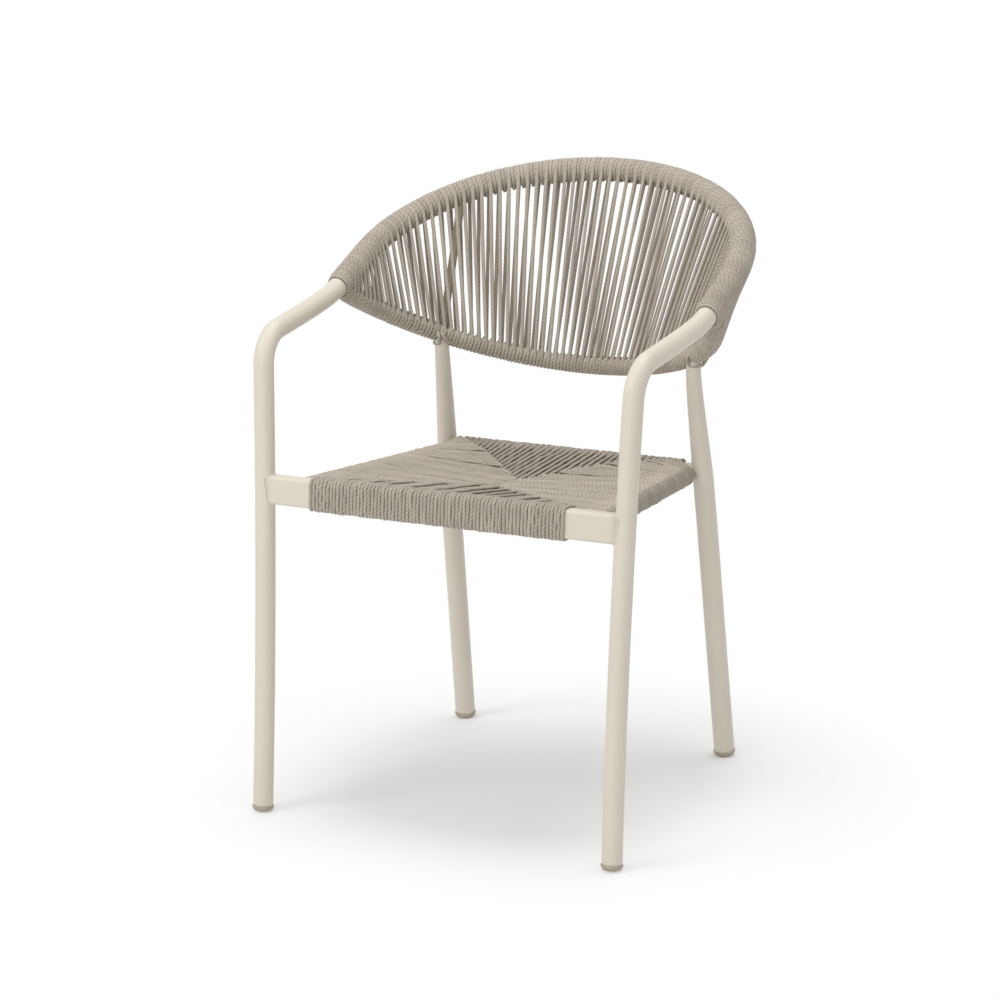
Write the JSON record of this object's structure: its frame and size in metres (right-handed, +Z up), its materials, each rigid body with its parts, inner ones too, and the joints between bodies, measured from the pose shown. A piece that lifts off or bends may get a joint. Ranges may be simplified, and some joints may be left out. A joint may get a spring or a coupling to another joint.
{
  "type": "rope armchair",
  "caption": "Outdoor armchair with a bent tube frame, a curved open back of stretched rope between two rails, and a woven rope seat.",
  "frame": {"origin": "middle of the base of the bounding box, on the floor", "axes": "+Z up, the chair faces -Y, +X is the viewer's right when seen from the front"},
  "size_m": [0.6085, 0.6207, 0.8663],
  "materials": {
    "frame_paint": "satin powder coat, warm off-white",
    "rope": "matt taupe cord",
    "glide_plastic": "matt taupe plastic",
    "spigot_alloy": "bare drawn tube"
  },
  "bodies": {
    "root": {"front_leg_arm_left": "frame_paint", "front_leg_arm_right": "frame_paint", "rear_leg_left": "frame_paint", "rear_leg_right": "frame_paint", "back_hoop": "frame_paint", "lower_back_rail": "frame_paint", "back_stay_left": "frame_paint", "back_stay_right": "frame_paint", "seat_front_bar": "frame_paint", "seat_side_rail_left": "frame_paint", "seat_side_rail_right": "frame_paint", "seat_rear_rail": "frame_paint", "hoop_winding": "rope", "lower_rail_winding": "rope", "tip_winding_left": "rope", "tip_winding_right": "rope", "back_cords": "rope", "seat_weave_front": "rope", "seat_weave_rear": "rope", "seat_weave_left": "rope", "seat_weave_right": "rope", "foot_glide_front_left": "glide_plastic", "foot_glide_front_right": "glide_plastic", "foot_glide_rear_left": "glide_plastic", "foot_glide_rear_right": "glide_plastic", "arm_joint_sleeve_left": "spigot_alloy", "arm_joint_sleeve_right": "spigot_alloy"}
  },
  "joints": []
}
